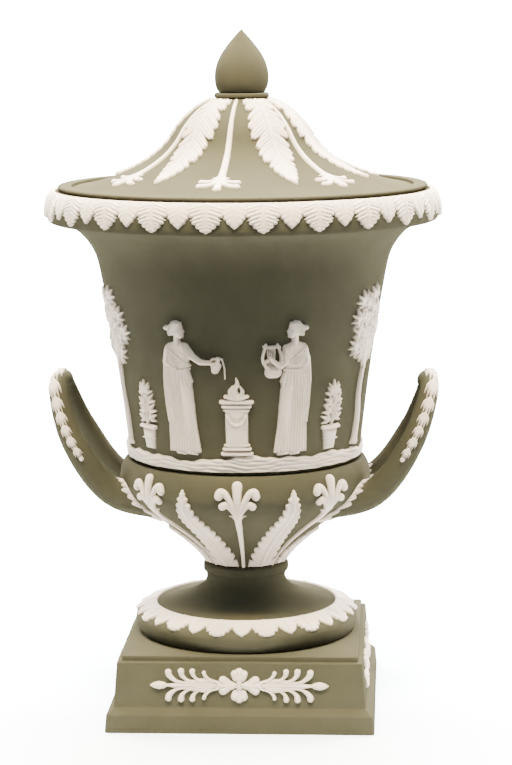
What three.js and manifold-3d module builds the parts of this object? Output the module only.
// Lidded campana vase in coloured stoneware with applied white reliefs, on a square plinth.
// Millimetres, +Z up. The origin is the centre of the plinth's bottom face, the front is -Y.

import * as THREE from 'three';
import * as BufferGeometryUtils from 'three/addons/utils/BufferGeometryUtils.js';
import Module from 'manifold-3d';

const wasm = await Module();
wasm.setup();

// Fits and facets
const RELIEF_GAP = 0.45;
const BORDER_GAP = 0.9;
const LUTED_GAP = 0.3;
const LID_SEAT_GAP = 0.3;
const LID_RING_CLEARANCE = 0.9;
const TENON_CLEARANCE = 0.4;
const BOLT_CLEARANCE = 0.6;
const TURNED_SEGMENTS = 32;
const SMALL_SEGMENTS = 24;
const CURVE_STEPS = 4;
const RELIEF_EDGE = 18;
const FLAT_RELIEF_EDGE = 100;

// Square plinth, hollow beneath
const PLINTH_HEIGHT = 33.2;
const PLINTH_BASE_HALF = 59.3;
const PLINTH_BASE_TOP_HALF = 58.6;
const PLINTH_BASE_HEIGHT = 7.9;
const PLINTH_MOULDING_HEIGHT = 3;
const PLINTH_DADO_BOTTOM_HALF = 55.5;
const PLINTH_DADO_TOP_HALF = 54;
const PLINTH_PANEL_HALF = 52;
const PLINTH_PANEL_RISE = 2.5;
const PLINTH_WALL = 6;
const PLINTH_TOP_THICKNESS = 8;

// Round foot
const FOOT_HEIGHT = 31.6;
const FOOT_CONTACT_RADIUS = 48.6;
const FOOT_TORUS_RADIUS = 50.5;
const FOOT_TORUS_HEIGHT = 6.1;
const FOOT_TORUS_SLOPE = 157;
const FOOT_FLARE_RADIUS = 40.9;
const FOOT_FLARE_HEIGHT = 12.8;
const FOOT_FLARE_SLOPE = 173;
const FOOT_WAIST_RADIUS = 17.9;
const FOOT_WAIST_DROP = 7.4;
const FOOT_COLLAR_RADIUS = 19.4;
const FOOT_COLLAR_HEIGHT = 3.9;
const FOOT_COLLAR_CHAMFER = 1;
const FOOT_WAIST_SLOPE = 100;

// Bowl
const BOWL_HEIGHT = 48.8;
const BOWL_BASE_RADIUS = 17.4;
const BOWL_SWELL_RADIUS = 41.8;
const BOWL_SWELL_HEIGHT = 22.7;
const BOWL_SHOULDER_RADIUS = 56.8;
const BOWL_SHOULDER_DROP = 9.6;
const BOWL_LIP_RADIUS = 53.2;
const BOWL_WALL = 6;
const BOWL_FLOOR_THICKNESS = 12.5;
const BOWL_FLOOR_RADIUS = 13;
const BOWL_SWELL_SLOPE = 35;

// Bell with its rolled rim
const BELL_HEIGHT = 120.6;
const BELL_BASE_RADIUS = 52.2;
const BELL_WALL = 5;
const SEAM_GROOVE_DEPTH = 1.4;
const SEAM_GROOVE_HEIGHT = 1.8;
const BELL_THROAT_RADIUS = 64.7;
const BELL_THROAT_DROP = 33.2;
const BELL_BASE_SLOPE = 84.7;
const BELL_THROAT_SLOPE = 78.8;
const RIM_UNDERSIDE_RADIUS = 72.5;
const RIM_UNDERSIDE_DROP = 18.6;
const RIM_UNDERSIDE_SLOPE = 46;
const RIM_EDGE_RADIUS = 85.6;
const RIM_EDGE_DROP = 13.3;
const RIM_EDGE_SLOPE = 7;
const RIM_RADIUS = 87.4;
const RIM_ROLL_DROP = 9.6;
const RIM_TOP_RADIUS = 82.8;
const RIM_TOP_STEP = 0.6;
const MOUTH_RADIUS = 68.5;
const MOUTH_DEPTH = 10;

// Lid
const LID_RING_SETBACK = 0.4;
const LID_RING_THICKNESS = 2.4;
const LID_RING_STEP = 1.2;
const LID_RING_WIDTH = 6.4;
const LID_RING_GROOVE = 0.6;
const LID_EDGE_ROUND = 1.6;
const LID_WAIST_RADIUS = 31;
const LID_WAIST_DROP = 15.7;
const LID_WAIST_SLOPE = 121;
const LID_CROWN_RADIUS = 12.4;
const LID_CROWN_HEIGHT = 39.7;
const LID_COLLAR_RADIUS = 12.4;
const LID_COLLAR_HEIGHT = 2.8;
const LID_COLLAR_BAND = 1.2;
const LID_WALL = 4.2;
const LOCATING_RING_HEIGHT = 6;
const LOCATING_RING_WALL = 3.4;

// Finial
const FINIAL_HEIGHT = 28;
const FINIAL_RADIUS = 12;
const FINIAL_BASE_RADIUS = 10;
const FINIAL_BULGE_HEIGHT = 6.5;
const TENON_RADIUS = 4;
const TENON_LENGTH = 7;

// Handles: upswept loops with two roots each
const HANDLE_ROOT_SINK = 25.8;
const HANDLE_ROOT_DROP = 18.6;
const HANDLE_ROOT_SPREAD = 25.5;
const HANDLE_ELBOW_REACH = 1.2;
const HANDLE_ELBOW_DROP = 13.7;
const HANDLE_ELBOW_SPREAD = 20.4;
const HANDLE_LEG_REACH = 18.9;
const HANDLE_LEG_RISE = 9.6;
const HANDLE_LEG_SPREAD = 20.9;
const HANDLE_ARCH_REACH = 26.6;
const HANDLE_ARCH_RISE = 32.8;
const HANDLE_ARCH_SPREAD = 9.5;
const HANDLE_TOP_REACH = 24.9;
const HANDLE_TOP_RISE = 34.2;
const HANDLE_DEPTH_ROOT = 6.8;
const HANDLE_DEPTH_TOP = 3.8;
const HANDLE_WIDTH_ROOT = 6.4;
const HANDLE_WIDTH_TOP = 3.7;
const HANDLE_TAPER = 1.4;
const HANDLE_TILT_ROOT = 50;
const HANDLE_TILT_TOP = 8;
const HANDLE_TURN = 32;
const HANDLE_STEPS = 32;
const HANDLE_SIDES = 8;

// Clamping bolt, washers and nut
const BOLT_RADIUS = 3;
const BOLT_HEAD_RADIUS = 6.5;
const BOLT_HEAD_HEIGHT = 4;
const BOLT_TAIL = 5;
const NUT_ACROSS_FLATS = 11;
const NUT_HEIGHT = 5;
const CORK_RADIUS = 10;
const CORK_THICKNESS = 2.5;
const WASHER_RADIUS = 13;
const WASHER_THICKNESS = 1.8;
const FASTENER_GAP = 0.1;

// Reliefs
const RELIEF_THICKNESS = 1.1;
const LID_LEAF_TURNS = [27, 74, 136.5, 199, 261, 323.5];
const LID_PALMETTE_TURNS = [-6.5, 47, 111, 175, 239, 303];
const LID_SPRIG_INSET = 1.5;
const LID_LEAF_LENGTH = 57;
const LID_LEAF_WIDTH = 17;
const LID_LEAF_BASE_SHARE = 0.45;
const LID_PALMETTE_LENGTH = 62;
const LID_PALMETTE_WIDTH = 17;
const LID_PALMETTE_HEAD = 9;
const LID_STEM_WIDTH = 1.6;
const BOWL_LEAF_TURNS = [25.2, 67.5, 112.5, 154.8, 205.2, 247.5, 292.5, 334.8];
const BOWL_SPRIG_PITCH = 45;
const BOWL_SPRIG_INSET = 1;
const BOWL_LEAF_LENGTH = 59.5;
const BOWL_LEAF_WIDTH = 12;
const BOWL_SIDE_LEAF_LENGTH = 26;
const BOWL_PALMETTE_LENGTH = 63.5;
const BOWL_PALMETTE_WIDTH = 19;
const BOWL_PALMETTE_HEAD = 12;
const BOWL_STEM_WIDTH = 2.2;
const RIM_LEAVES = 23;
const RIM_BORDER_INSET = 0.4;
const RIM_BORDER_TURN = -6.5;
const RIM_BORDER_BAND = 7.1;
const RIM_LARGE_LEAF = 13.4;
const RIM_SMALL_LEAF = 12.1;
const FOOT_LEAVES = 14;
const FOOT_BORDER_TURN = -11.8;
const FOOT_BORDER_BAND = 7.2;
const FOOT_LARGE_LEAF = 11.3;
const FOOT_SMALL_LEAF = 11;
const GROUND_STRIP_HEIGHT = 6;
const GROUND_STRIP_WAVE = 1.2;
const GROUND_STRIP_INSET = 0.3;
const FRIEZE_GAP = 0.85;
const SPRAY_HALF_LENGTH = 38.8;
const SPRAY_HALF_HEIGHT = 6.7;
const SPRAY_START = 10.6;
const SPRAY_FRONDS = 4;
const SPRAY_FROND_PITCH = 5.6;
const SPRAY_END_LEAF = 6.6;
const SPRAY_ROSETTE_LOBE = 4.5;
const ROSETTE_RADIUS = 7.8;
const HUSK_CHAIN_WIDTH = 4.2;
const HUSK_CHAIN_REACH = 0.5;
const HUSK_COUNT = 16;
const HUSK_GAP = 0.7;
const HUSK_ANGLE = -70;
const ROOT_LEAF_WIDTH = 0.02;
const ROOT_LEAF_WRAP = 300;
const ROOT_LEAF_STEPS = 12;
const ROOT_LEAF_SEARCH = 0.3;
const BORDER_ROWS = [0, 0.38, 0.78, 1];

// Frieze
const FIGURE_HEIGHT = 60;
const FIGURE_TURN = 25;
const ALTAR_HEIGHT = 30;
const ALTAR_RADIUS = 7;
const TREE_HEIGHT = 74;
const TREE_TRUNK = 2.2;
const TREE_REACH = 12;
const TREE_TURN = 68;
const SHRUB_HEIGHT = 32;
const SHRUB_TURN = 47;

// Levels
const Z_FOOT = PLINTH_HEIGHT;
const Z_BOWL = Z_FOOT + FOOT_HEIGHT;
const Z_BELL = Z_BOWL + BOWL_HEIGHT;
const Z_SEAT = Z_BELL + BELL_HEIGHT;
const Z_LID = Z_SEAT + LID_SEAT_GAP;
const Z_CROWN = Z_LID + LID_CROWN_HEIGHT;
const Z_FINIAL = Z_CROWN + LID_COLLAR_HEIGHT;
const BOLT_HOLE_RADIUS = BOLT_RADIUS + BOLT_CLEARANCE;
const LID_RING_RADIUS = RIM_TOP_RADIUS - LID_RING_SETBACK;

// Colours of the clay and the fittings
const finish = (color, roughness, metalness) => ({ color, roughness, metalness });
const OLIVE_CLAY = finish(0x8f8668, 0.85, 0);
const WHITE_CLAY = finish(0xe6dccb, 0.85, 0);
const BRASS = finish(0xb59a5a, 0.4, 0.9);
const CORK = finish(0xa9825a, 0.95, 0);

const vase = new THREE.Group();

function addPart(name, geometry, look, parent = vase) {
  const mesh = new THREE.Mesh(geometry, new THREE.MeshStandardMaterial(look));
  mesh.name = name;
  parent.add(mesh);
}

// Small helpers for curves and solids

const point = (r, z) => new THREE.Vector2(r, z);

// A curve between two points that leaves and arrives at slopes in degrees, 0 being outward

function bend(from, leave, to, arrive, steps = CURVE_STEPS, pull = [0.35, 0.35]) {
  const chord = from.distanceTo(to);
  const along = (slope, share) => {
    const a = THREE.MathUtils.degToRad(slope);
    return point(Math.cos(a), Math.sin(a)).multiplyScalar(chord * share);
  };
  const toward = from.clone().add(along(leave, pull[0]));
  const before = to.clone().sub(along(arrive, pull[1]));
  return new THREE.CubicBezierCurve(from, toward, before, to).getPoints(steps).slice(1);
}

function turned(profile, segments = TURNED_SEGMENTS) {
  const ring = profile.map((p) => p.clone());
  if (ring[0].x > 0) ring.push(ring[0].clone());
  const geometry = new THREE.LatheGeometry(ring, segments);
  geometry.rotateX(Math.PI / 2);
  return outward(geometry);
}

function welded(geometry) {
  const copy = geometry.clone();
  copy.deleteAttribute('normal');
  copy.deleteAttribute('uv');
  const merged = BufferGeometryUtils.mergeVertices(copy, 1e-4);
  const index = merged.getIndex().array;
  const kept = [];
  for (let i = 0; i < index.length; i += 3) {
    const [a, b, c] = [index[i], index[i + 1], index[i + 2]];
    if (a !== b && b !== c && a !== c) kept.push(a, b, c);
  }
  merged.setIndex(kept);
  return merged;
}

function signedVolume(geometry) {
  const p = geometry.getAttribute('position');
  const index = geometry.getIndex().array;
  const [a, b, c] = [new THREE.Vector3(), new THREE.Vector3(), new THREE.Vector3()];
  let six = 0;
  for (let i = 0; i < index.length; i += 3) {
    a.fromBufferAttribute(p, index[i]);
    b.fromBufferAttribute(p, index[i + 1]);
    c.fromBufferAttribute(p, index[i + 2]);
    six += a.dot(b.cross(c));
  }
  return six / 6;
}

function outward(geometry) {
  const solid = welded(geometry);
  if (signedVolume(solid) < 0) {
    const index = Array.from(solid.getIndex().array);
    for (let i = 0; i < index.length; i += 3) [index[i], index[i + 1]] = [index[i + 1], index[i]];
    solid.setIndex(index);
  }
  solid.computeVertexNormals();
  return solid;
}

function toSolid(geometry) {
  const merged = outward(geometry);
  return new wasm.Manifold(new wasm.Mesh({
    numProp: 3,
    vertProperties: new Float32Array(merged.getAttribute('position').array),
    triVerts: new Uint32Array(merged.getIndex().array),
  }));
}

function fromSolid(solid) {
  const mesh = solid.getMesh();
  const geometry = new THREE.BufferGeometry();
  geometry.setAttribute('position', new THREE.BufferAttribute(new Float32Array(mesh.vertProperties), 3));
  geometry.setIndex(Array.from(mesh.triVerts));
  geometry.computeVertexNormals();
  return geometry;
}

function cylinder(radius, bottom, top, segments = SMALL_SEGMENTS) {
  const geometry = new THREE.CylinderGeometry(radius, radius, top - bottom, segments);
  geometry.rotateX(Math.PI / 2);
  geometry.translate(0, 0, (top + bottom) / 2);
  return geometry;
}

// Outer profiles, from the bottom up; the reliefs are laid on the same lines

function footProfile() {
  const torus = point(FOOT_TORUS_RADIUS, Z_FOOT + FOOT_TORUS_HEIGHT);
  const flare = point(FOOT_FLARE_RADIUS, Z_FOOT + FOOT_FLARE_HEIGHT);
  const waist = point(FOOT_WAIST_RADIUS, Z_BOWL - FOOT_WAIST_DROP);
  return [
    point(FOOT_CONTACT_RADIUS, Z_FOOT),
    torus,
    ...bend(torus, 90, flare, FOOT_TORUS_SLOPE, CURVE_STEPS, [0.37, 0.47]),
    ...bend(flare, FOOT_FLARE_SLOPE, waist, FOOT_WAIST_SLOPE, CURVE_STEPS, [0.4, 0.26]),
  ];
}

function bowlProfile() {
  const base = point(BOWL_BASE_RADIUS, Z_BOWL);
  const swell = point(BOWL_SWELL_RADIUS, Z_BOWL + BOWL_SWELL_HEIGHT);
  const shoulder = point(BOWL_SHOULDER_RADIUS, Z_BELL - BOWL_SHOULDER_DROP);
  const lip = point(BOWL_LIP_RADIUS, Z_BELL);
  return [
    base,
    ...bend(base, 68, swell, BOWL_SWELL_SLOPE, CURVE_STEPS, [0.19, 0.45]),
    ...bend(swell, BOWL_SWELL_SLOPE, shoulder, 90),
    ...bend(shoulder, 90, lip, 152, 3, [0.49, 0.24]),
  ];
}

function bellProfile() {
  const base = point(BELL_BASE_RADIUS, Z_BELL + SEAM_GROOVE_HEIGHT);
  const throat = point(BELL_THROAT_RADIUS, Z_SEAT - BELL_THROAT_DROP);
  const under = point(RIM_UNDERSIDE_RADIUS, Z_SEAT - RIM_UNDERSIDE_DROP);
  const edge = point(RIM_EDGE_RADIUS, Z_SEAT - RIM_EDGE_DROP);
  const roll = point(RIM_RADIUS, Z_SEAT - RIM_ROLL_DROP);
  const top = point(RIM_TOP_RADIUS, Z_SEAT + RIM_TOP_STEP);
  return [
    base,
    ...bend(base, BELL_BASE_SLOPE, throat, BELL_THROAT_SLOPE, 5, [0.33, 0.29]),
    ...bend(throat, BELL_THROAT_SLOPE, under, RIM_UNDERSIDE_SLOPE, 3, [0.46, 0.28]),
    ...bend(under, RIM_UNDERSIDE_SLOPE, edge, RIM_EDGE_SLOPE, 2, [0.28, 0.46]),
    ...bend(edge, RIM_EDGE_SLOPE, roll, 90, 2, [0.39, 0.49]),
    ...bend(roll, 88, top, 156),
  ];
}

function lidProfile() {
  const flangeRadius = LID_RING_RADIUS - LID_RING_WIDTH - LID_RING_GROOVE;
  const flange = point(flangeRadius, Z_LID + LID_RING_THICKNESS - LID_RING_STEP);
  const waist = point(LID_WAIST_RADIUS, Z_CROWN - LID_WAIST_DROP);
  const crown = point(LID_CROWN_RADIUS, Z_CROWN);
  return [
    flange,
    ...bend(flange, 170, waist, LID_WAIST_SLOPE, CURVE_STEPS, [0.43, 0.26]),
    ...bend(waist, LID_WAIST_SLOPE, crown, 161, 3),
  ];
}

// A surface of revolution that a relief can be laid on: run is the length up the profile

function turnedSurface(profile) {
  const lengths = [0];
  for (let i = 1; i < profile.length; i += 1) {
    lengths.push(lengths[i - 1] + profile[i].distanceTo(profile[i - 1]));
  }
  const normals = profile.map((p, i) => {
    const before = profile[Math.max(i - 1, 0)];
    const after = profile[Math.min(i + 1, profile.length - 1)];
    return point(after.y - before.y, before.x - after.x).normalize();
  });
  const total = lengths[lengths.length - 1];
  const at = (run) => {
    const s = THREE.MathUtils.clamp(run, 0, total);
    let i = 1;
    while (i < lengths.length - 1 && lengths[i] < s) i += 1;
    const f = (s - lengths[i - 1]) / (lengths[i] - lengths[i - 1]);
    const place = profile[i - 1].clone().lerp(profile[i], f);
    const normal = normals[i - 1].clone().lerp(normals[i], f).normalize();
    return { place, normal };
  };
  const runAtHeight = (z) => {
    for (let i = 1; i < profile.length; i += 1) {
      const [low, high] = [profile[i - 1].y, profile[i].y];
      if ((z - low) * (z - high) <= 0 && low !== high) {
        return lengths[i - 1] + (lengths[i] - lengths[i - 1]) * (z - low) / (high - low);
      }
    }
    return total;
  };
  return { at, total, runAtHeight, runs: lengths };
}

// Places a relief's flat outline on a turned surface: u is across, v is up from the start run

function onTurned(surface, azimuth, start, direction = 1, reference = 0) {
  return (u, v, lift) => {
    const { place, normal } = surface.at(start + direction * v);
    const radius = reference > 0 ? reference : Math.max(place.x, 1);
    const angle = THREE.MathUtils.degToRad(azimuth) + direction * u / radius;
    const r = place.x + normal.x * lift;
    const z = place.y + normal.y * lift;
    return new THREE.Vector3(r * Math.sin(angle), -r * Math.cos(angle), z);
  };
}

// The solid under a turned surface, grown by the gap that a relief or a handle keeps to it

function grownSolid(profile, gap) {
  const surface = turnedSurface(profile);
  const shell = profile.map((p, i) => {
    const { normal } = surface.at(surface.runs[i]);
    return point(p.x + normal.x * gap, p.y + normal.y * gap);
  });
  const [first, last] = [shell[0], shell[shell.length - 1]];
  return toSolid(turned([point(0, first.y), ...shell, point(0, last.y)]));
}

const trimmed = (geometry, ground) => fromSolid(toSolid(geometry).subtract(ground));

// Splits long edges of a flat triangulation, so that a relief can follow its curved ground

function refine(vertices, triangles, longest) {
  const middles = new Map();
  const middle = (a, b) => {
    const key = a < b ? `${a} ${b}` : `${b} ${a}`;
    if (!middles.has(key)) {
      vertices.push(vertices[a].clone().lerp(vertices[b], 0.5));
      middles.set(key, vertices.length - 1);
    }
    return middles.get(key);
  };
  const queue = triangles.map((t) => [...t]);
  const done = [];
  while (queue.length > 0) {
    const [a, b, c] = queue.pop();
    const edges = [[a, b, c], [b, c, a], [c, a, b]];
    const span = ([from, to]) => vertices[from].distanceTo(vertices[to]);
    edges.sort((e, f) => span(f) - span(e));
    const [p, q, opposite] = edges[0];
    if (span([p, q]) <= longest) {
      done.push([a, b, c]);
    } else {
      const m = middle(p, q);
      queue.push([p, m, opposite], [m, q, opposite]);
    }
  }
  return done;
}

// A closed plate with the given outline, laid on a surface by place(u, v, lift)

function relief(outline, place, thickness = RELIEF_THICKNESS, longest = RELIEF_EDGE) {
  const vertices = outline.map((p) => p.clone());
  if (THREE.ShapeUtils.isClockWise(vertices)) vertices.reverse();
  const flat = refine(vertices, THREE.ShapeUtils.triangulateShape(vertices, []), longest);
  const count = vertices.length;
  const positions = [];
  for (const lift of [RELIEF_GAP, RELIEF_GAP + thickness]) {
    for (const p of vertices) positions.push(...place(p.x, p.y, lift).toArray());
  }
  const index = [];
  const used = new Set(flat.flatMap(([a, b, c]) => [`${a} ${b}`, `${b} ${c}`, `${c} ${a}`]));
  for (const [a, b, c] of flat) {
    index.push(c, b, a, a + count, b + count, c + count);
    for (const [p, q] of [[a, b], [b, c], [c, a]]) {
      if (!used.has(`${q} ${p}`)) index.push(p, q, q + count, p, q + count, p + count);
    }
  }
  const geometry = new THREE.BufferGeometry();
  geometry.setAttribute('position', new THREE.Float32BufferAttribute(positions, 3));
  geometry.setIndex(index);
  return outward(geometry);
}

// Flat outlines of the reliefs, centred on u = 0 and growing up from v = 0

function mirrored(right) {
  const left = right.filter((p) => p.x > 0).map((p) => point(-p.x, p.y)).reverse();
  return [...right, ...left];
}

function leafOutline(length, width, lobes, baseShare) {
  const right = [point(width * baseShare / 2, 0)];
  for (let i = 0; i < lobes; i += 1) {
    const low = i / lobes;
    const swell = (s) => baseShare + (1 - baseShare) * Math.sin(Math.PI * Math.min(s * 1.5, 1) / 2);
    const taper = (s) => swell(s) * (1 - Math.pow(s, 2.2));
    const tip = low + 0.75 / lobes;
    const notch = (i + 1) / lobes;
    right.push(point(width / 2 * taper(tip) + 0.3, length * tip));
    if (i < lobes - 1) right.push(point(width / 2 * taper(notch) * 0.62 + 0.3, length * notch));
  }
  right.push(point(0, length));
  return mirrored(right);
}

function palmetteOutline(length, width, stemWidth, head) {
  const centre = length - head;
  const lobes = [[78, 0.86], [40, 0.96], [0, 1]];
  const right = [point(stemWidth / 2, 0), point(stemWidth * 0.9, centre - head * 0.35)];
  right.push(point(stemWidth * 1.7, centre - head * 0.22), point(stemWidth * 0.9, centre - head * 0.1));
  const reach = (angle, share) => {
    const a = THREE.MathUtils.degToRad(angle);
    return point(Math.sin(a) * width / 2 * share, centre + Math.cos(a) * head * share);
  };
  lobes.forEach(([angle, share], i) => {
    if (i > 0) right.push(reach(angle + 19, 0.42));
    if (angle > 0) right.push(reach(angle + 11, share * 0.93), reach(angle, share));
    if (angle > 0) right.push(reach(angle - 10, share * 0.88));
    if (angle === 0) right.push(reach(9, 0.9), reach(0, 1));
  });
  return mirrored(right);
}

// A leaf border running round a turned surface: a band with large and small leaves hanging from it

function leafBorder(surface, start, direction, turn, leaves, band, large, small) {
  const pitch = 360 / leaves;
  const outer = [];
  for (let i = 0; i < leaves; i += 1) {
    const centre = turn + i * pitch;
    outer.push([centre - pitch * 0.27, band], [centre, large]);
    outer.push([centre + pitch * 0.27, band], [centre + pitch * 0.5, small]);
  }
  const rows = outer.map(([azimuth, depth]) => [azimuth, BORDER_ROWS.map((share) => depth * share)]);
  return ringStrip(surface, start, direction, rows, BORDER_GAP);
}

// A closed ring on a turned surface: each row holds an azimuth and its lengths down the profile

function ringStrip(surface, start, direction, rows, gap = RELIEF_GAP) {
  const deep = rows[0][1].length;
  const around = deep * 2;
  const positions = [];
  const index = [];
  rows.forEach(([azimuth, runs], i) => {
    const place = onTurned(surface, azimuth, start, direction);
    for (const v of runs) positions.push(...place(0, v, gap).toArray());
    for (const v of [...runs].reverse()) {
      positions.push(...place(0, v, gap + RELIEF_THICKNESS).toArray());
    }
    const a = i * around;
    const b = ((i + 1) % rows.length) * around;
    for (let k = 0; k < around; k += 1) {
      const next = (k + 1) % around;
      index.push(a + k, b + k, b + next, a + k, b + next, a + next);
    }
  });
  const geometry = new THREE.BufferGeometry();
  geometry.setAttribute('position', new THREE.Float32BufferAttribute(positions, 3));
  geometry.setIndex(index);
  return outward(geometry);
}

// Plinth

function buildPlinth() {
  const levels = [
    [PLINTH_BASE_HALF, 0],
    [PLINTH_BASE_TOP_HALF, PLINTH_BASE_HEIGHT],
    [PLINTH_DADO_BOTTOM_HALF, PLINTH_BASE_HEIGHT + PLINTH_MOULDING_HEIGHT],
    [PLINTH_DADO_TOP_HALF, PLINTH_HEIGHT - PLINTH_PANEL_RISE],
    [PLINTH_PANEL_HALF, PLINTH_HEIGHT - PLINTH_PANEL_RISE],
    [PLINTH_PANEL_HALF, PLINTH_HEIGHT],
  ];
  const cavityTop = PLINTH_HEIGHT - PLINTH_TOP_THICKNESS;
  const cavityHalf = PLINTH_DADO_TOP_HALF - PLINTH_WALL;
  const corner = Math.SQRT2;
  const profile = levels.map(([half, z]) => point(half * corner, z));
  profile.push(point(0, PLINTH_HEIGHT), point(0, cavityTop));
  profile.push(point(cavityHalf * corner, cavityTop), point(cavityHalf * corner, 0));
  profile.push(profile[0].clone());
  const block = new THREE.LatheGeometry(profile, 4);
  block.rotateX(Math.PI / 2);
  block.rotateZ(Math.PI / 4);
  const bore = cylinder(BOLT_HOLE_RADIUS, cavityTop - 1, PLINTH_HEIGHT + 1);
  addPart('plinth', fromSolid(toSolid(block).subtract(toSolid(bore))), OLIVE_CLAY);
}

// Foot

function buildFoot() {
  const collarTop = Z_BOWL - FOOT_COLLAR_CHAMFER;
  const profile = [
    point(BOLT_HOLE_RADIUS, Z_FOOT),
    ...footProfile(),
    point(FOOT_COLLAR_RADIUS, Z_BOWL - FOOT_COLLAR_HEIGHT),
    point(FOOT_COLLAR_RADIUS, collarTop),
    point(FOOT_COLLAR_RADIUS - FOOT_COLLAR_CHAMFER, Z_BOWL),
    point(BOLT_HOLE_RADIUS, Z_BOWL),
  ];
  addPart('foot', turned(profile), OLIVE_CLAY);
}

// Bowl

function bowlGeometry() {
  const floor = Z_BOWL + BOWL_FLOOR_THICKNESS;
  const lip = point(BELL_BASE_RADIUS - BELL_WALL, Z_BELL);
  const belly = point(BOWL_SHOULDER_RADIUS - BOWL_WALL, Z_BELL - BOWL_SHOULDER_DROP);
  const corner = point(BOWL_FLOOR_RADIUS, floor);
  return turned([
    point(BOLT_HOLE_RADIUS, Z_BOWL),
    ...bowlProfile(),
    lip,
    ...bend(lip, -49, belly, -90, 2),
    ...bend(belly, -90, corner, 182, CURVE_STEPS, [0.26, 0.26]),
    point(BOLT_HOLE_RADIUS, floor),
  ]);
}

// Bell

function buildBell() {
  const seatInner = point(MOUTH_RADIUS, Z_SEAT);
  const neck = point(MOUTH_RADIUS, Z_SEAT - MOUTH_DEPTH);
  const throat = point(BELL_THROAT_RADIUS - BELL_WALL, Z_SEAT - BELL_THROAT_DROP);
  const base = point(BELL_BASE_RADIUS - BELL_WALL, Z_BELL);
  const grooveRadius = BELL_BASE_RADIUS - SEAM_GROOVE_DEPTH;
  const profile = [
    point(grooveRadius, Z_BELL),
    ...bellProfile(),
    point(RIM_TOP_RADIUS - RIM_TOP_STEP, Z_SEAT),
    seatInner,
    neck,
    ...bend(neck, -90, throat, BELL_THROAT_SLOPE - 180, 3),
    ...bend(throat, BELL_THROAT_SLOPE - 180, base, BELL_BASE_SLOPE - 180),
  ];
  addPart('bell', turned(profile), OLIVE_CLAY);
}

// Lid, lifted straight off its seat

const lid = new THREE.Group();
vase.add(lid);

function buildLid() {
  const outer = lidProfile().reverse();
  const ringTop = Z_LID + LID_RING_THICKNESS;
  const spigot = MOUTH_RADIUS - LID_RING_CLEARANCE;
  const spigotFoot = Z_LID - LOCATING_RING_HEIGHT;
  const hole = TENON_RADIUS + TENON_CLEARANCE;
  const waist = point(LID_WAIST_RADIUS - LID_WALL, Z_CROWN - LID_WAIST_DROP - LID_WALL / 2);
  const start = point(spigot - LOCATING_RING_WALL, Z_LID);
  const roof = point(hole, Z_CROWN - LID_WALL);
  const band = Z_FINIAL - LID_COLLAR_BAND;
  const profile = [
    point(hole, Z_FINIAL),
    point(LID_COLLAR_RADIUS - LID_COLLAR_BAND, Z_FINIAL),
    point(LID_COLLAR_RADIUS, band),
    point(LID_COLLAR_RADIUS, band - LID_COLLAR_BAND / 2),
    point(LID_COLLAR_RADIUS - LID_COLLAR_BAND, Z_CROWN + LID_COLLAR_BAND / 4),
    ...outer,
    point(LID_RING_RADIUS - LID_RING_WIDTH + LID_RING_GROOVE, ringTop),
    point(LID_RING_RADIUS - LID_EDGE_ROUND, ringTop),
    point(LID_RING_RADIUS, ringTop - LID_EDGE_ROUND * 0.7),
    point(LID_RING_RADIUS - LID_EDGE_ROUND / 2, Z_LID),
    point(spigot, Z_LID),
    point(spigot, spigotFoot),
    point(spigot - LOCATING_RING_WALL, spigotFoot),
    start,
    ...bend(start, 174, waist, LID_WAIST_SLOPE, 3),
    ...bend(waist, LID_WAIST_SLOPE, roof, 175, 3),
  ];
  addPart('lid', turned(profile), OLIVE_CLAY, lid);
}

// Finial with its tenon

function buildFinial() {
  const base = point(FINIAL_BASE_RADIUS, Z_FINIAL);
  const bulge = point(FINIAL_RADIUS, Z_FINIAL + FINIAL_BULGE_HEIGHT);
  const tip = point(0, Z_FINIAL + FINIAL_HEIGHT);
  const profile = [
    point(0, Z_FINIAL - TENON_LENGTH),
    point(TENON_RADIUS, Z_FINIAL - TENON_LENGTH),
    point(TENON_RADIUS, Z_FINIAL),
    base,
    ...bend(base, 49, bulge, 90, 3),
    ...bend(bulge, 90, tip, 133, 5, [0.33, 0.45]),
  ];
  addPart('finial', turned(profile, SMALL_SEGMENTS), OLIVE_CLAY, lid);
}

// Handle: its centre line, and the section's frame along it

function handlePath() {
  const along = [
    [-HANDLE_ROOT_SINK, HANDLE_ROOT_SPREAD, -HANDLE_ROOT_DROP],
    [HANDLE_ELBOW_REACH, HANDLE_ELBOW_SPREAD, -HANDLE_ELBOW_DROP],
    [HANDLE_LEG_REACH, HANDLE_LEG_SPREAD, HANDLE_LEG_RISE],
    [HANDLE_ARCH_REACH, HANDLE_ARCH_SPREAD, HANDLE_ARCH_RISE],
    [HANDLE_TOP_REACH, 0, HANDLE_TOP_RISE],
  ];
  const side = (sign) => along.map(([reach, spread, rise]) => (
    new THREE.Vector3(BOWL_SHOULDER_RADIUS + reach, sign * spread, Z_BELL + rise)
  ));
  const nodes = [...side(-1), ...side(1).reverse().slice(1)];
  return new THREE.CatmullRomCurve3(nodes, false, 'centripetal');
}

const HANDLE_PATH = handlePath();

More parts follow.
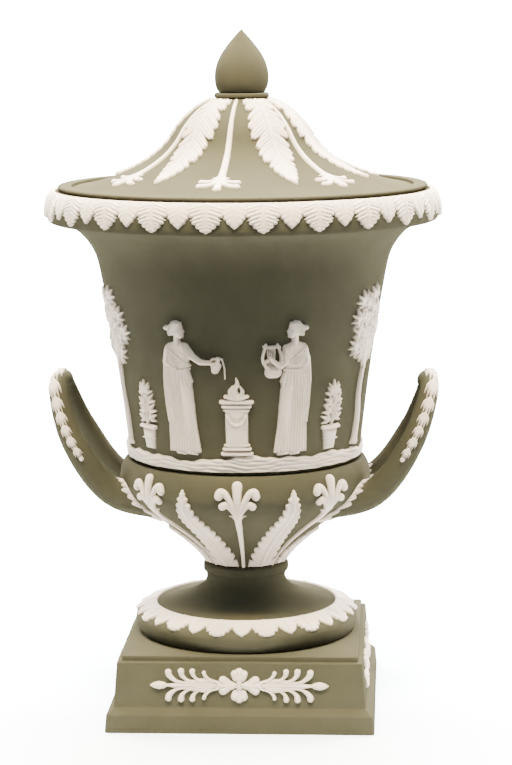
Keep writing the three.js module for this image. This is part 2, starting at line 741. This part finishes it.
function handleFrame(t) {
  const centre = HANDLE_PATH.getPointAt(t);
  const tangent = HANDLE_PATH.getTangentAt(t);
  const rise = 1 - Math.abs(2 * t - 1);
  const side = THREE.MathUtils.clamp((t - 0.5) * 4, -1, 1);
  const tilt = THREE.MathUtils.degToRad(THREE.MathUtils.lerp(HANDLE_TILT_ROOT, HANDLE_TILT_TOP, rise));
  const turn = THREE.MathUtils.degToRad(HANDLE_TURN * side);
  const facing = new THREE.Vector3(
    Math.cos(tilt) * Math.cos(turn),
    Math.cos(tilt) * Math.sin(turn),
    -Math.sin(tilt),
  );
  const across = new THREE.Vector3().crossVectors(tangent, facing).normalize();
  const out = new THREE.Vector3().crossVectors(across, tangent).normalize();
  const slimming = rise ** HANDLE_TAPER;
  const depth = THREE.MathUtils.lerp(HANDLE_DEPTH_ROOT, HANDLE_DEPTH_TOP, slimming);
  const width = THREE.MathUtils.lerp(HANDLE_WIDTH_ROOT, HANDLE_WIDTH_TOP, slimming);
  return { centre, across, out, depth, width };
}

function handlePoint(t, angle, lift, mirror) {
  const { centre, across, out, depth, width } = handleFrame(t);
  const place = centre.clone()
    .addScaledVector(out, Math.cos(angle) * (depth + lift))
    .addScaledVector(across, Math.sin(angle) * (width + lift));
  place.x *= mirror;
  return place;
}

const BOWL_GROUND = grownSolid(bowlProfile(), LUTED_GAP);

function buildHandle(name, mirror) {
  const positions = [];
  for (let i = 0; i <= HANDLE_STEPS; i += 1) {
    for (let k = 0; k < HANDLE_SIDES; k += 1) {
      const angle = 2 * Math.PI * k / HANDLE_SIDES;
      positions.push(...handlePoint(i / HANDLE_STEPS, angle, 0, mirror).toArray());
    }
  }
  const index = [];
  for (let i = 0; i < HANDLE_STEPS; i += 1) {
    for (let k = 0; k < HANDLE_SIDES; k += 1) {
      const a = i * HANDLE_SIDES + k;
      const b = i * HANDLE_SIDES + (k + 1) % HANDLE_SIDES;
      index.push(a, b, b + HANDLE_SIDES, a, b + HANDLE_SIDES, a + HANDLE_SIDES);
    }
  }
  const last = HANDLE_STEPS * HANDLE_SIDES;
  for (let k = 1; k < HANDLE_SIDES - 1; k += 1) {
    index.push(0, k + 1, k, last, last + k, last + k + 1);
  }
  const geometry = new THREE.BufferGeometry();
  geometry.setAttribute('position', new THREE.Float32BufferAttribute(positions, 3));
  geometry.setIndex(index);
  addPart(name, trimmed(geometry, BOWL_GROUND), OLIVE_CLAY);
}

// Fasteners

function buildFasteners() {
  const floor = Z_BOWL + BOWL_FLOOR_THICKNESS + FASTENER_GAP;
  const corkTop = floor + CORK_THICKNESS;
  const headBottom = corkTop + FASTENER_GAP;
  const under = PLINTH_HEIGHT - PLINTH_TOP_THICKNESS - FASTENER_GAP;
  const washerBottom = under - WASHER_THICKNESS;
  const nutTop = washerBottom - FASTENER_GAP;
  const tail = nutTop - NUT_HEIGHT - BOLT_TAIL;
  const ringShape = (outer, inner, bottom, top, segments = SMALL_SEGMENTS) => turned([
    point(inner, bottom),
    point(outer, bottom),
    point(outer, top),
    point(inner, top),
  ], segments);
  addPart('clamp_bolt', turned([
    point(0, tail),
    point(BOLT_RADIUS, tail),
    point(BOLT_RADIUS, headBottom),
    point(BOLT_HEAD_RADIUS, headBottom),
    point(BOLT_HEAD_RADIUS, headBottom + BOLT_HEAD_HEIGHT * 0.45),
    point(BOLT_HEAD_RADIUS * 0.6, headBottom + BOLT_HEAD_HEIGHT),
    point(0, headBottom + BOLT_HEAD_HEIGHT),
  ], SMALL_SEGMENTS), BRASS);
  addPart('cork_washer', ringShape(CORK_RADIUS, BOLT_HOLE_RADIUS, floor, corkTop), CORK);
  addPart('plinth_washer', ringShape(WASHER_RADIUS, BOLT_HOLE_RADIUS, washerBottom, under), BRASS);
  const hex = cylinder(NUT_ACROSS_FLATS / Math.sqrt(3), nutTop - NUT_HEIGHT, nutTop, 6);
  const bore = cylinder(BOLT_RADIUS + FASTENER_GAP * 2, nutTop - NUT_HEIGHT - 1, nutTop + 1);
  addPart('clamp_nut', fromSolid(toSolid(hex).subtract(toSolid(bore))), BRASS);
}

// Reliefs on the lid

function buildLidReliefs() {
  const surface = turnedSurface(lidProfile());
  const ground = grownSolid(lidProfile(), LUTED_GAP);
  const start = surface.total - LID_SPRIG_INSET;
  const leaf = leafOutline(LID_LEAF_LENGTH, LID_LEAF_WIDTH, 4, LID_LEAF_BASE_SHARE);
  const palmette = palmetteOutline(
    LID_PALMETTE_LENGTH, LID_PALMETTE_WIDTH, LID_STEM_WIDTH, LID_PALMETTE_HEAD,
  );
  const lay = (name, outline, turn) => {
    const laid = relief(outline, onTurned(surface, turn, start, -1));
    addPart(name, trimmed(laid, ground), WHITE_CLAY, lid);
  };
  LID_LEAF_TURNS.forEach((turn, i) => lay(`lid_leaf_${i + 1}`, leaf, turn));
  LID_PALMETTE_TURNS.forEach((turn, i) => lay(`lid_palmette_${i + 1}`, palmette, turn));
}

// Reliefs on the bowl; the two handle sides have no palmette between the roots

function buildBowlReliefs() {
  const surface = turnedSurface(bowlProfile());
  const ground = BOWL_GROUND;
  const start = BOWL_SPRIG_INSET;
  const leaf = leafOutline(BOWL_LEAF_LENGTH, BOWL_LEAF_WIDTH, 4, 0.6);
  const sideLeaf = leafOutline(BOWL_SIDE_LEAF_LENGTH, BOWL_LEAF_WIDTH, 3, 0.6);
  const palmette = palmetteOutline(
    BOWL_PALMETTE_LENGTH, BOWL_PALMETTE_WIDTH, BOWL_STEM_WIDTH, BOWL_PALMETTE_HEAD,
  );
  BOWL_LEAF_TURNS.forEach((leafAzimuth, i) => {
    const azimuth = i * BOWL_SPRIG_PITCH;
    const sideways = (angle) => Math.abs(Math.sin(THREE.MathUtils.degToRad(angle)));
    const outline = sideways(leafAzimuth) > 0.9 ? sideLeaf : leaf;
    const laid = relief(outline, onTurned(surface, leafAzimuth, start));
    addPart(`bowl_leaf_${i + 1}`, trimmed(laid, ground), WHITE_CLAY);
    if (sideways(azimuth) < 0.99) {
      const upright = relief(palmette, onTurned(surface, azimuth, start));
      addPart(`bowl_palmette_${i + 1}`, trimmed(upright, ground), WHITE_CLAY);
    }
  });
}

// Leaf borders of the rim and the foot

function buildBorders() {
  const bell = turnedSurface(bellProfile());
  const rimTop = bell.total - RIM_BORDER_INSET;
  const rimBorder = leafBorder(
    bell, rimTop, -1, RIM_BORDER_TURN, RIM_LEAVES, RIM_BORDER_BAND, RIM_LARGE_LEAF, RIM_SMALL_LEAF,
  );
  addPart('rim_border', rimBorder, WHITE_CLAY);
  const foot = turnedSurface(footProfile());
  const footTop = foot.runAtHeight(Z_FOOT + FOOT_FLARE_HEIGHT);
  const footBorder = leafBorder(
    foot, footTop, -1, FOOT_BORDER_TURN, FOOT_LEAVES, FOOT_BORDER_BAND, FOOT_LARGE_LEAF, FOOT_SMALL_LEAF,
  );
  addPart('foot_border', footBorder, WHITE_CLAY);
}

// Ground strip under the frieze

function buildGroundStrip(surface, start) {
  const wave = (azimuth) => (
    GROUND_STRIP_HEIGHT + Math.sin(THREE.MathUtils.degToRad(azimuth * 5)) * GROUND_STRIP_WAVE
  );
  const rows = [];
  for (let i = 0; i < TURNED_SEGMENTS; i += 1) {
    const azimuth = 360 * i / TURNED_SEGMENTS;
    rows.push([azimuth, [0, wave(azimuth)]]);
  }
  addPart('ground_strip', ringStrip(surface, start, 1, rows), WHITE_CLAY);
}

// Outlines of the frieze: two draped figures at an altar, laurel trees and potted shrubs

function shapePoints(draw, steps = 2) {
  const shape = new THREE.Shape();
  draw(shape);
  const points = shape.getPoints(steps);
  if (points[0].distanceTo(points[points.length - 1]) < 1e-6) points.pop();
  return points;
}

function figureOutline(height, arm) {
  const h = height;
  const head = point(0, h * 0.93);
  const radius = h * 0.062;
  return shapePoints((s) => {
    s.moveTo(-h * 0.13, 0);
    s.lineTo(h * 0.13, 0);
    s.quadraticCurveTo(h * 0.1, h * 0.25, h * 0.1, h * 0.55);
    s.lineTo(h * 0.1, h * 0.62);
    s.lineTo(arm * 0.9, h * 0.58);
    s.lineTo(arm, h * 0.64);
    s.lineTo(h * 0.13, h * 0.76);
    s.lineTo(h * 0.03, h * 0.84);
    s.lineTo(h * 0.03, head.y - radius);
    s.quadraticCurveTo(radius * 1.2, head.y - radius, radius, head.y);
    s.quadraticCurveTo(radius, h, 0, h);
    s.quadraticCurveTo(-radius * 1.3, h, -radius * 1.1, head.y);
    s.quadraticCurveTo(-radius, head.y - radius, -h * 0.03, head.y - radius);
    s.lineTo(-h * 0.03, h * 0.84);
    s.lineTo(-h * 0.12, h * 0.77);
    s.quadraticCurveTo(-h * 0.17, h * 0.6, -h * 0.1, h * 0.5);
    s.lineTo(-h * 0.13, 0);
  });
}

function altarOutline(height, radius) {
  const shaft = [[1, 0], [1, 0.12], [0.7, 0.18], [0.7, 0.7]];
  const bowl = [[1, 0.78], [1, 0.86], [0.45, 0.86], [0.35, 0.95]];
  const steps = [...shaft, ...bowl];
  const right = steps.map(([r, z]) => point(radius * r, height * z));
  right.push(point(0, height * 1.15));
  return mirrored(right);
}

function crownOutline(height, trunk, reach, low, lobes) {
  const right = [point(trunk, 0), point(trunk * 0.7, height * low)];
  for (let i = 0; i < lobes; i += 1) {
    const from = low + (1 - low) * i / lobes;
    const mid = low + (1 - low) * (i + 0.55) / lobes;
    const share = Math.sin(Math.PI * (0.25 + 0.75 * (i + 0.5) / lobes));
    right.push(point(reach * (0.35 + 0.65 * share), height * mid));
    if (i > 0) right.splice(-1, 0, point(reach * 0.6 * share, height * (from + 0.01)));
  }
  right.push(point(0, height));
  return mirrored(right);
}

function shrubOutline(height) {
  const pot = [[0.13, 0], [0.18, 0.3], [0.21, 0.3], [0.21, 0.36], [0.05, 0.36], [0.05, 0.45]];
  const right = pot.map(([x, z]) => point(height * x, height * z));
  const leaves = [[0.24, 0.56], [0.13, 0.64], [0.22, 0.76], [0.1, 0.84]];
  leaves.forEach(([x, z]) => right.push(point(height * x, height * z)));
  right.push(point(0, height));
  return mirrored(right);
}

function buildFrieze() {
  const surface = turnedSurface(bellProfile());
  const ground = grownSolid(bellProfile(), LUTED_GAP);
  buildGroundStrip(surface, GROUND_STRIP_INSET);
  const stand = GROUND_STRIP_INSET + GROUND_STRIP_HEIGHT + GROUND_STRIP_WAVE + FRIEZE_GAP;
  const put = (name, outline, azimuth, flip = 1) => {
    const facing = outline.map((p) => point(p.x * flip, p.y));
    const middle = surface.at(stand + FIGURE_HEIGHT / 3).place.x;
    addPart(name, trimmed(relief(facing, onTurned(surface, azimuth, stand, 1, middle)), ground), WHITE_CLAY);
  };
  const pourer = figureOutline(FIGURE_HEIGHT, FIGURE_HEIGHT * 0.24);
  const musician = figureOutline(FIGURE_HEIGHT * 0.97, FIGURE_HEIGHT * 0.2);
  [['front', 0], ['back', 180]].forEach(([side, azimuth]) => {
    put(`pourer_${side}`, pourer, azimuth - FIGURE_TURN);
    put(`musician_${side}`, musician, azimuth + FIGURE_TURN, -1);
  });
  put('altar_front', altarOutline(ALTAR_HEIGHT, ALTAR_RADIUS), 0);
  const tree = crownOutline(TREE_HEIGHT, TREE_TRUNK, TREE_REACH, 0.42, 4);
  put('laurel_tree_left', tree, -TREE_TURN);
  put('laurel_tree_right', tree, TREE_TURN);
  const shrub = shrubOutline(SHRUB_HEIGHT);
  put('potted_shrub_left', shrub, -SHRUB_TURN);
  put('potted_shrub_right', shrub, SHRUB_TURN);
}

// Reliefs on the handles

function stripOnHandle(from, to, steps, halfWidth, mirror) {
  const centre = THREE.MathUtils.degToRad(HUSK_ANGLE);
  const positions = [];
  const index = [];
  for (let i = 0; i <= steps; i += 1) {
    const t = THREE.MathUtils.lerp(from, to, i / steps);
    const { depth } = handleFrame(t);
    const half = halfWidth(i) / depth;
    for (const [angle, lift] of [[-half, 0], [half, 0], [half, 0.7], [0, 1], [-half, 0.7]]) {
      const raised = HUSK_GAP + lift * RELIEF_THICKNESS;
      positions.push(...handlePoint(t, centre + angle, raised, mirror).toArray());
    }
  }
  for (let i = 0; i < steps; i += 1) {
    for (let k = 0; k < 5; k += 1) {
      const a = i * 5 + k;
      const b = i * 5 + (k + 1) % 5;
      index.push(a, b, b + 5, a, b + 5, a + 5);
    }
  }
  for (let k = 1; k < 4; k += 1) {
    index.push(0, k + 1, k, steps * 5, steps * 5 + k, steps * 5 + k + 1);
  }
  const geometry = new THREE.BufferGeometry();
  geometry.setAttribute('position', new THREE.Float32BufferAttribute(positions, 3));
  geometry.setIndex(index);
  return outward(geometry);
}

// A leaf collar round a handle's root, along the line where the handle meets the bowl

function bowlReach(z) {
  const line = bowlProfile();
  const i = line.findIndex((p) => p.y >= z);
  if (i < 1) return line[i < 0 ? line.length - 1 : 0].x;
  const share = (z - line[i - 1].y) / (line[i].y - line[i - 1].y);
  return THREE.MathUtils.lerp(line[i - 1].x, line[i].x, share);
}

function rootShare(angle, end, extra) {
  let [inside, outside] = [0, ROOT_LEAF_SEARCH];
  for (let i = 0; i < 20; i += 1) {
    const middle = (inside + outside) / 2;
    const place = handlePoint(end > 0 ? 1 - middle : middle, angle, RELIEF_GAP, 1);
    if (Math.hypot(place.x, place.y) > bowlReach(place.z)) outside = middle;
    else inside = middle;
  }
  return end > 0 ? 1 - outside - extra : outside + extra;
}

function rootLeaf(end, mirror) {
  const positions = [];
  const index = [];
  for (let i = 0; i <= ROOT_LEAF_STEPS; i += 1) {
    const turn = ROOT_LEAF_WRAP * (i / ROOT_LEAF_STEPS - 0.5);
    const angle = THREE.MathUtils.degToRad(turn) + end * Math.PI / 2;
    const width = ROOT_LEAF_WIDTH * (i % 2 === 0 ? 0.65 : 1);
    for (const [extra, lift] of [[0, 0], [width, 0], [width, 0.7], [0, 1]]) {
      const raised = RELIEF_GAP + lift * RELIEF_THICKNESS;
      positions.push(...handlePoint(rootShare(angle, end, extra), angle, raised, mirror).toArray());
    }
  }
  for (let i = 0; i < ROOT_LEAF_STEPS; i += 1) {
    for (let k = 0; k < 4; k += 1) {
      const a = i * 4 + k;
      const b = i * 4 + (k + 1) % 4;
      index.push(a, b, b + 4, a, b + 4, a + 4);
    }
  }
  const last = ROOT_LEAF_STEPS * 4;
  index.push(0, 2, 1, 0, 3, 2, last, last + 1, last + 2, last, last + 2, last + 3);
  const geometry = new THREE.BufferGeometry();
  geometry.setAttribute('position', new THREE.Float32BufferAttribute(positions, 3));
  geometry.setIndex(index);
  return outward(geometry);
}

function buildHandleReliefs(side, mirror) {
  const from = 0.5 - HUSK_CHAIN_REACH / 2;
  const husk = (i) => HUSK_CHAIN_WIDTH / 2 * (i % 2 === 0 ? 0.45 : 1);
  const chain = stripOnHandle(from, 1 - from, HUSK_COUNT * 2, husk, mirror);
  addPart(`husk_chain_${side}`, chain, WHITE_CLAY);
  addPart(`root_leaf_${side}_front`, trimmed(rootLeaf(-1, mirror), BOWL_GROUND), WHITE_CLAY);
  addPart(`root_leaf_${side}_back`, trimmed(rootLeaf(1, mirror), BOWL_GROUND), WHITE_CLAY);
}

// Rosette with two sprays, one on each side of the plinth

function sprayOutline() {
  const quarter = [
    [1.6, ROSETTE_RADIUS], [3.8, ROSETTE_RADIUS - 1.6], [2.8, 3.4],
    [6, SPRAY_ROSETTE_LOBE], [SPRAY_START - 1, 2.4], [SPRAY_START, 0.9],
    [SPRAY_START + 2.6, 2.8],
  ];
  for (let i = 0; i < SPRAY_FRONDS; i += 1) {
    const x = SPRAY_START + SPRAY_FROND_PITCH * (i + 0.95);
    const rise = SPRAY_HALF_HEIGHT - (i === 0 ? 0.9 : 0);
    quarter.push([x, rise], [x + 0.9, 2.9 - i * 0.45]);
  }
  const neck = SPRAY_HALF_LENGTH - SPRAY_END_LEAF;
  quarter.push([neck, 0.8], [neck + SPRAY_END_LEAF * 0.45, 2.1]);
  const upper = [point(0, ROSETTE_RADIUS - 0.5), ...quarter.map(([x, y]) => point(x, y))];
  const tip = point(SPRAY_HALF_LENGTH, 0);
  const lower = upper.map((p) => point(p.x, -p.y)).reverse();
  const right = [...upper, tip, ...lower];
  const left = right.slice(1, -1).map((p) => point(-p.x, p.y)).reverse();
  return [...right, ...left];
}

function buildPlinthSprays() {
  const low = PLINTH_BASE_HEIGHT + PLINTH_MOULDING_HEIGHT;
  const high = PLINTH_HEIGHT - PLINTH_PANEL_RISE;
  const middle = (low + high) / 2;
  const lean = (PLINTH_DADO_BOTTOM_HALF - PLINTH_DADO_TOP_HALF) / (high - low);
  const outline = sprayOutline();
  ['front', 'right', 'back', 'left'].forEach((side, i) => {
    const onFace = (u, v, lift) => {
      const reach = PLINTH_DADO_BOTTOM_HALF - lean * (middle + v - low) + lift;
      return new THREE.Vector3(u, -reach, middle + v).applyAxisAngle(
        new THREE.Vector3(0, 0, 1),
        i * Math.PI / 2,
      );
    };
    addPart(`plinth_spray_${side}`, relief(outline, onFace, RELIEF_THICKNESS, FLAT_RELIEF_EDGE), WHITE_CLAY);
  });
}

buildPlinth();
buildFoot();
addPart('bowl', bowlGeometry(), OLIVE_CLAY);
buildBell();
buildHandle('handle_left', -1);
buildHandle('handle_right', 1);
buildFasteners();
buildPlinthSprays();
buildBorders();
buildBowlReliefs();
buildFrieze();
buildHandleReliefs('left', -1);
buildHandleReliefs('right', 1);
buildLid();
buildFinial();
buildLidReliefs();

export default vase;
